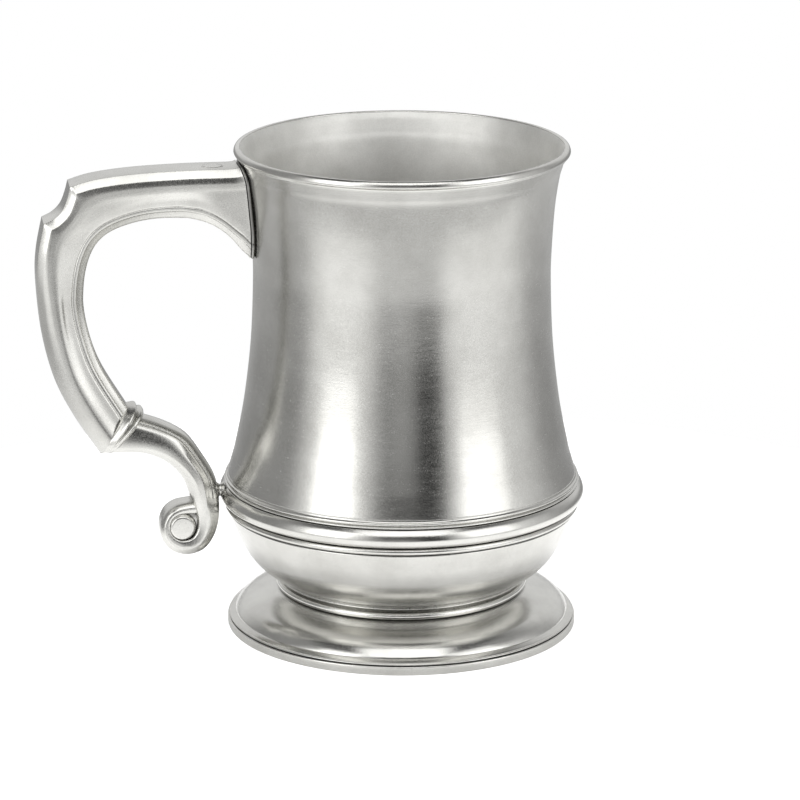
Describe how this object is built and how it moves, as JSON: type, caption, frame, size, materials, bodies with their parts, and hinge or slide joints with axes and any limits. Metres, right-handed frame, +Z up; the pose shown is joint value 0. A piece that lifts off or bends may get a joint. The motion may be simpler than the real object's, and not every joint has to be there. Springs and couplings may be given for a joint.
{
  "type": "pewter tankard",
  "caption": "Bell-bodied pewter drinking tankard on a spread hollow foot, with girdle mouldings and a hollow-cast scroll handle.",
  "frame": {"origin": "centre of the bounding box in plan, on the plane the tankard stands on; the mug's own axis is at x = +23.8 mm", "axes": "+X away from the handle, through the mug's axis; +Y across the mug, along its narrowest extent; +Z up"},
  "size_m": [0.1445, 0.0968, 0.1301],
  "materials": {
    "satin_pewter_wall": "satin pewter, spun and finely grained, greyer towards the girdle",
    "satin_pewter_foot": "satin pewter with small wear marks, darker in the cove",
    "bright_pewter_moulding": "brighter rubbed pewter with dark patina left in the grooves",
    "cast_pewter_handle": "cast pewter, hand smoothed, dark patina in the mouldings",
    "dark_pewter_joint": "dull darkened pewter at the soldered joints"
  },
  "bodies": {
    "root": {"upper_body": "satin_pewter_wall", "rim_band": "bright_pewter_moulding", "girdle_upper_fillet": "bright_pewter_moulding", "girdle_torus": "bright_pewter_moulding", "girdle_lower_bead": "bright_pewter_moulding", "lower_bowl": "satin_pewter_wall", "neck_bead": "bright_pewter_moulding", "foot": "satin_pewter_foot", "foot_rim": "bright_pewter_moulding", "handle_upper_arm": "cast_pewter_handle", "handle_vent_plug": "dark_pewter_joint", "handle_pad": "dark_pewter_joint", "handle_collar": "cast_pewter_handle", "handle_lower_scroll": "cast_pewter_handle", "volute_eye": "cast_pewter_handle"}
  },
  "joints": []
}
